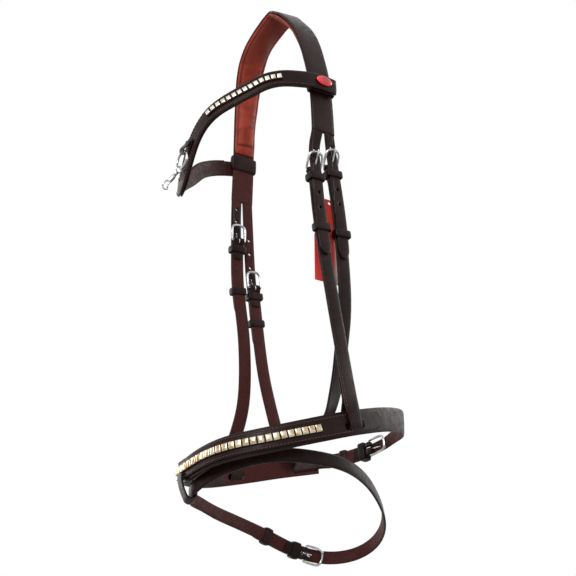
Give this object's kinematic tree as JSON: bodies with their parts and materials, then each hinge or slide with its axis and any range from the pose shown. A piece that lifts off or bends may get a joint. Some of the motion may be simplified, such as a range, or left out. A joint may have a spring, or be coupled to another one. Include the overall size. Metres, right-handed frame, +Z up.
{
  "type": "english bridle",
  "caption": "Leather riding bridle: padded crown, clincher browband, cheekpieces and a flash noseband, joined by buckles with tongues, keepers and punched billets.",
  "frame": {"origin": "Under the padded crown at its highest point, where the bridle rests on the horse's poll.", "axes": "+Z up, +X toward the horse's near (left) side, -Y forward to the horse's nose."},
  "size_m": [0.2178, 0.2647, 0.6241],
  "materials": {
    "dark_leather": "near-black bridle leather, waxed satin",
    "brown_leather": "soft red-brown padding leather",
    "tan_lining": "orange-tan lining leather over padding",
    "stainless_steel": "polished",
    "pale_clincher": "polished pale gold plate",
    "red_enamel": "gloss",
    "red_card": "coated card"
  },
  "bodies": {
    "headstall": {"crown_leather": "dark_leather", "crown_padding": "tan_lining", "noseband_band": "dark_leather", "noseband_padding": "brown_leather", "noseband_raised": "dark_leather", "noseband_clincher": "pale_clincher", "chin_strap": "dark_leather", "chin_buckle": "stainless_steel", "chin_keeper_fixed": "dark_leather", "near_hanger_strap": "dark_leather", "near_hanger_buckle": "stainless_steel", "near_hanger_keeper_fixed": "dark_leather", "off_hanger_strap": "dark_leather", "off_hanger_buckle": "stainless_steel", "off_hanger_keeper_fixed": "dark_leather", "near_cheek_strap": "dark_leather", "near_cheek_buckle": "stainless_steel", "near_cheek_keeper_fixed": "dark_leather", "near_cheek_hook_stud": "stainless_steel", "off_cheek_strap": "dark_leather", "off_cheek_buckle": "stainless_steel", "off_cheek_keeper_fixed": "dark_leather", "off_cheek_hook_stud": "stainless_steel", "flash_loop": "dark_leather"},
    "near_hanger_tongue": {"near_hanger_tongue": "stainless_steel"},
    "off_hanger_tongue": {"off_hanger_tongue": "stainless_steel"},
    "near_cheek_tongue": {"near_cheek_tongue": "stainless_steel"},
    "off_cheek_tongue": {"off_cheek_tongue": "stainless_steel"},
    "chin_tongue": {"chin_tongue": "stainless_steel"},
    "near_hanger_keeper": {"near_hanger_keeper_sliding": "dark_leather"},
    "off_hanger_keeper": {"off_hanger_keeper_sliding": "dark_leather"},
    "near_cheek_keeper": {"near_cheek_keeper_sliding": "dark_leather"},
    "off_cheek_keeper": {"off_cheek_keeper_sliding": "dark_leather"},
    "chin_keeper": {"chin_keeper_sliding": "dark_leather"},
    "flash": {"flash_strap": "dark_leather", "flash_buckle": "stainless_steel", "flash_keeper_fixed": "dark_leather"},
    "flash_tongue": {"flash_tongue": "stainless_steel"},
    "flash_keeper": {"flash_keeper_sliding": "dark_leather"},
    "browband": {"browband_strap": "dark_leather", "browband_lining": "brown_leather", "browband_loop_near": "dark_leather", "browband_loop_off": "dark_leather", "browband_clincher_near": "pale_clincher", "browband_clincher_off": "pale_clincher", "browband_badge": "red_enamel", "browband_ring_tab": "dark_leather"},
    "ring": {"browband_ring": "stainless_steel"},
    "snap_swivel": {"snap_swivel": "stainless_steel"},
    "snap_body": {"snap_body": "stainless_steel"},
    "snap_bolt": {"snap_bolt": "stainless_steel"},
    "tag": {"swing_tag": "red_card"}
  },
  "joints": [
    {"name": "near_hanger_tongue_hinge", "type": "hinge", "parent": "headstall", "child": "near_hanger_tongue", "pos_m": [0.07705, -0.00551, -0.24732], "axis": [0, -0.9981, -0.0614], "range_deg": [-4, 0]},
    {"name": "off_hanger_tongue_hinge", "type": "hinge", "parent": "headstall", "child": "off_hanger_tongue", "pos_m": [-0.07755, -0.00494, -0.25852], "axis": [0, 0.9983, 0.0584], "range_deg": [-2.5, 2.5]},
    {"name": "near_cheek_tongue_hinge", "type": "hinge", "parent": "headstall", "child": "near_cheek_tongue", "pos_m": [0.07705, 0.0157, -0.23781], "axis": [0, -0.9958, -0.0919], "range_deg": [-4, 0]},
    {"name": "off_cheek_tongue_hinge", "type": "hinge", "parent": "headstall", "child": "off_cheek_tongue", "pos_m": [-0.08205, 0.01956, -0.3099], "axis": [0, 0.9922, 0.125], "range_deg": [-2.5, 2.5]},
    {"name": "chin_tongue_hinge", "type": "hinge", "parent": "headstall", "child": "chin_tongue", "pos_m": [-0.00646, 0.11595, -0.4988], "axis": [0.1811, 0.0115, -0.9834], "range_deg": [-2.5, 2.5]},
    {"name": "near_hanger_keeper_slide", "type": "slide", "parent": "headstall", "child": "near_hanger_keeper", "axis": [0.0523, 0.1073, -0.9929], "range_m": [-0.006, 0.006]},
    {"name": "off_hanger_keeper_slide", "type": "slide", "parent": "headstall", "child": "off_hanger_keeper", "axis": [-0.0517, 0.1588, -0.986], "range_m": [-0.006, 0.006]},
    {"name": "near_cheek_keeper_slide", "type": "slide", "parent": "headstall", "child": "near_cheek_keeper", "axis": [0.0003, 0.0803, -0.9968], "range_m": [-0.008, 0.008]},
    {"name": "off_cheek_keeper_slide", "type": "slide", "parent": "headstall", "child": "off_cheek_keeper", "axis": [0.0041, 0.1376, -0.9905], "range_m": [-0.008, 0.008]},
    {"name": "chin_keeper_slide", "type": "slide", "parent": "headstall", "child": "chin_keeper", "axis": [-0.9137, -0.4021, -0.0594], "range_m": [-0.003, 0.003]},
    {"name": "flash_hinge", "type": "hinge", "parent": "headstall", "child": "flash", "pos_m": [0, -0.091, -0.5723], "axis": [0.9371, -0.218, 0.2728], "range_deg": [-5, 1]},
    {"name": "flash_tongue_hinge", "type": "hinge", "parent": "flash", "child": "flash_tongue", "pos_m": [-0.05573, 0.06649, -0.6026], "axis": [-0.188, -0.1678, -0.9677], "range_deg": [-2.5, 2.5]},
    {"name": "flash_keeper_slide", "type": "slide", "parent": "flash", "child": "flash_keeper", "axis": [0.0963, -0.9533, 0.2863], "range_m": [-0.001, 0.003]},
    {"name": "browband_slide", "type": "slide", "parent": "headstall", "child": "browband", "axis": [0, 0, 1], "range_m": [-0.002, 0.0005]},
    {"name": "ring_hinge", "type": "hinge", "parent": "browband", "child": "ring", "pos_m": [0.00734, -0.11737, -0.22332], "axis": [-0.9092, -0.0582, 0.4124], "range_deg": [0, 60]},
    {"name": "snap_eye_hinge", "type": "hinge", "parent": "ring", "child": "snap_swivel", "pos_m": [-0.00055, -0.11824, -0.24083], "axis": [-0.9092, -0.0582, 0.4124], "range_deg": [-10, 40]},
    {"name": "snap_turn", "type": "hinge", "parent": "snap_swivel", "child": "snap_body", "pos_m": [-0.00337, -0.12195, -0.24756], "axis": [-0.3441, -0.4529, -0.8225], "continuous": true},
    {"name": "snap_bolt_slide", "type": "slide", "parent": "snap_body", "child": "snap_bolt", "axis": [-0.3441, -0.4529, -0.8225], "range_m": [-0.003, 0], "stiffness_N_per_m": 60, "springref_m": 0.0005},
    {"name": "tag_hinge", "type": "hinge", "parent": "headstall", "child": "tag", "pos_m": [0.07849, 0.01307, -0.2803], "axis": [0, 1, 0], "range_deg": [0, 25]}
  ]
}
